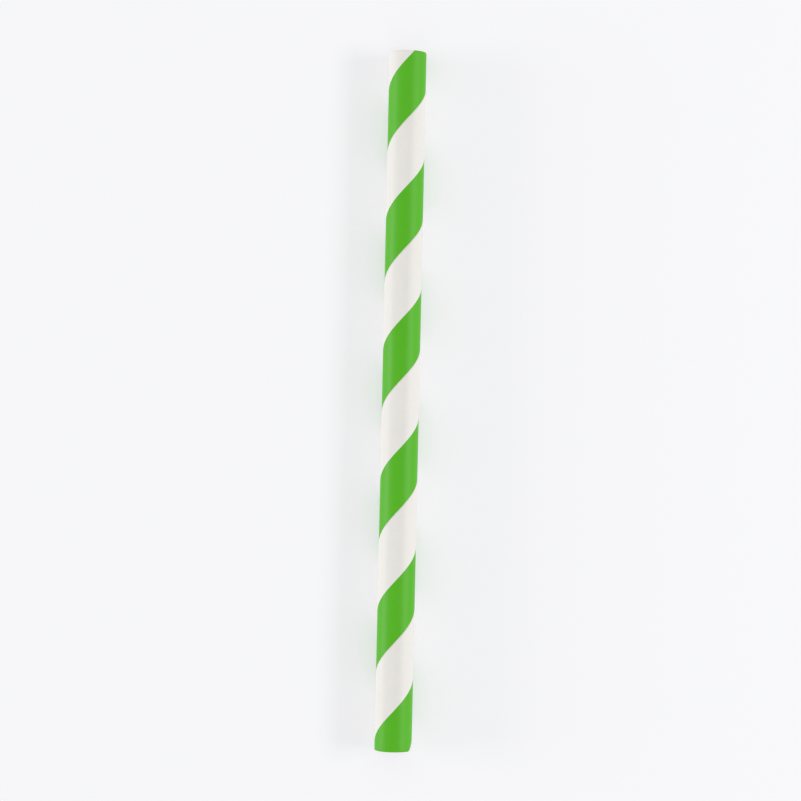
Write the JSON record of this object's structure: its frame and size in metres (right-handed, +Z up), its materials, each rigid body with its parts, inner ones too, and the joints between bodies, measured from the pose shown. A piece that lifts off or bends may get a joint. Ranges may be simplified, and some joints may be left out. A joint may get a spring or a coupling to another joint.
{
  "type": "paper drinking straw",
  "caption": "Straight spiral-wound paper drinking straw, an open-ended tube, white with a green helical stripe.",
  "frame": {"origin": "on the slight flat that the straw lies on, halfway along it", "axes": "+Y along the straw, towards the end that is at the top of the picture; +Z up from the surface it lies on"},
  "size_m": [0.008, 0.15, 0.008],
  "materials": {
    "white_paper": "uncoated white paper with a soft sheen",
    "green_print": "the same paper printed leaf green, satin"
  },
  "bodies": {
    "root": {"paper_tube": "white_paper", "printed_stripe": "green_print"}
  },
  "joints": []
}
